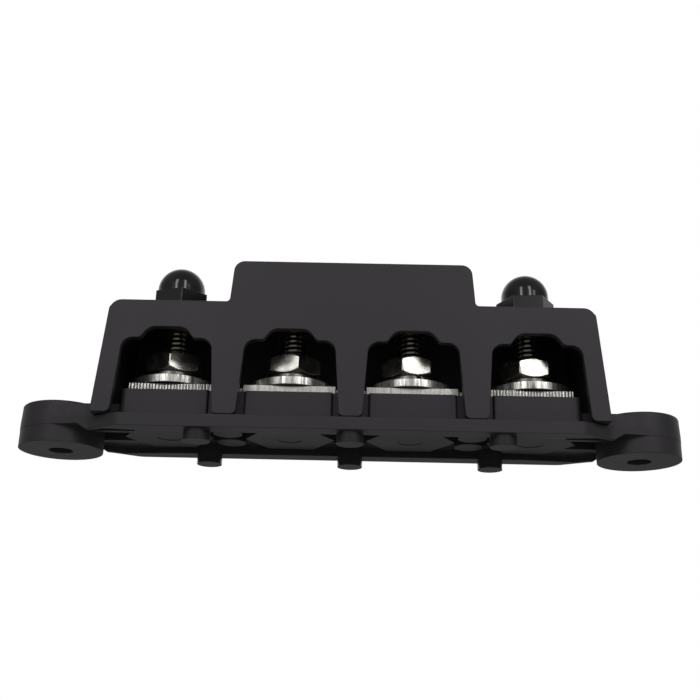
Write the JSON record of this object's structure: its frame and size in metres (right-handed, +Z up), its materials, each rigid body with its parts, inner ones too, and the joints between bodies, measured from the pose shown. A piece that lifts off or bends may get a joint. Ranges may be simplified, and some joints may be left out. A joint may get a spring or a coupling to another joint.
{
  "type": "bus bar terminal block",
  "caption": "Bus bar terminal block: threaded studs joined by a plated bar on a black moulded base with screw ears, under a lift-off cover held by domed cap nuts.",
  "frame": {"origin": "middle of the block on the mounting plane, under the ear bosses and feet pins", "axes": "+X along the row of studs, -Y towards the cable entries, +Z up from the mounting plane along the studs"},
  "size_m": [0.1642, 0.0324, 0.0492],
  "materials": {
    "black_moulding": "fine matt moulded grain",
    "black_nylon": "smooth moulded gloss",
    "tin_plate": "bright tin plating on copper alloy",
    "nickel_plate": "bright plated steel"
  },
  "bodies": {
    "base": {"base": "black_moulding", "bus_bar": "tin_plate", "stud_1": "nickel_plate", "stud_2": "nickel_plate", "stud_3": "nickel_plate", "stud_4": "nickel_plate", "flat_washer_1": "nickel_plate", "flat_washer_2": "nickel_plate", "flat_washer_3": "nickel_plate", "flat_washer_4": "nickel_plate", "lock_washer_1": "nickel_plate", "lock_washer_2": "nickel_plate", "lock_washer_3": "nickel_plate", "lock_washer_4": "nickel_plate"},
    "cover": {"cover": "black_moulding"},
    "cap_nut_left": {"cap_nut_left": "black_nylon"},
    "cap_nut_right": {"cap_nut_right": "black_nylon"},
    "terminal_nut_1": {"terminal_nut_1": "nickel_plate"},
    "terminal_nut_2": {"terminal_nut_2": "nickel_plate"},
    "terminal_nut_3": {"terminal_nut_3": "nickel_plate"},
    "terminal_nut_4": {"terminal_nut_4": "nickel_plate"}
  },
  "joints": [
    {"name": "cover_lift", "type": "slide", "parent": "base", "child": "cover", "axis": [0, 0, 1], "range_m": [0, 0.04]},
    {"name": "cap_nut_left_turn", "type": "hinge", "parent": "cover", "child": "cap_nut_left", "pos_m": [-0.045, 0, 0.04], "axis": [0, 0, 1], "continuous": true},
    {"name": "cap_nut_right_turn", "type": "hinge", "parent": "cover", "child": "cap_nut_right", "pos_m": [0.045, 0, 0.04], "axis": [0, 0, 1], "continuous": true},
    {"name": "terminal_nut_1_turn", "type": "hinge", "parent": "base", "child": "terminal_nut_1", "pos_m": [-0.045, 0, 0.022], "axis": [0, 0, 1], "continuous": true},
    {"name": "terminal_nut_2_turn", "type": "hinge", "parent": "base", "child": "terminal_nut_2", "pos_m": [-0.015, 0, 0.022], "axis": [0, 0, 1], "continuous": true},
    {"name": "terminal_nut_3_turn", "type": "hinge", "parent": "base", "child": "terminal_nut_3", "pos_m": [0.015, 0, 0.022], "axis": [0, 0, 1], "continuous": true},
    {"name": "terminal_nut_4_turn", "type": "hinge", "parent": "base", "child": "terminal_nut_4", "pos_m": [0.045, 0, 0.022], "axis": [0, 0, 1], "continuous": true}
  ]
}
